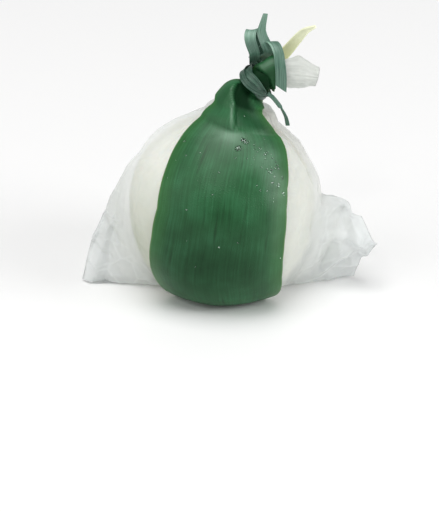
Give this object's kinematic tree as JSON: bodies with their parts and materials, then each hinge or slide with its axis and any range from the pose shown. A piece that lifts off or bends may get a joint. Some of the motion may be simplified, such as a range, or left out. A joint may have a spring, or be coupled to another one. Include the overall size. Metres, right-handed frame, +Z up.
{
  "type": "burrata",
  "caption": "Round burrata in a translucent film bag gathered to a leaning neck, with a wide green leaf over the front and a knotted green ribbon round the neck.",
  "frame": {"origin": "on the floor, under the ball's upright axis", "axes": "+Z up; the leaf's front faces -Y; the neck leans to +X"},
  "size_m": [0.1309, 0.0895, 0.1277],
  "materials": {
    "bag_film": "satin translucent film over cream cheese",
    "leaf_green": "waxy leaf with fine long veins, wet with drops",
    "ribbon_green": "fibrous satin ribbon"
  },
  "bodies": {
    "root": {"film_bag": "bag_film", "leaf": "leaf_green", "tie_ribbon": "ribbon_green"}
  },
  "joints": []
}
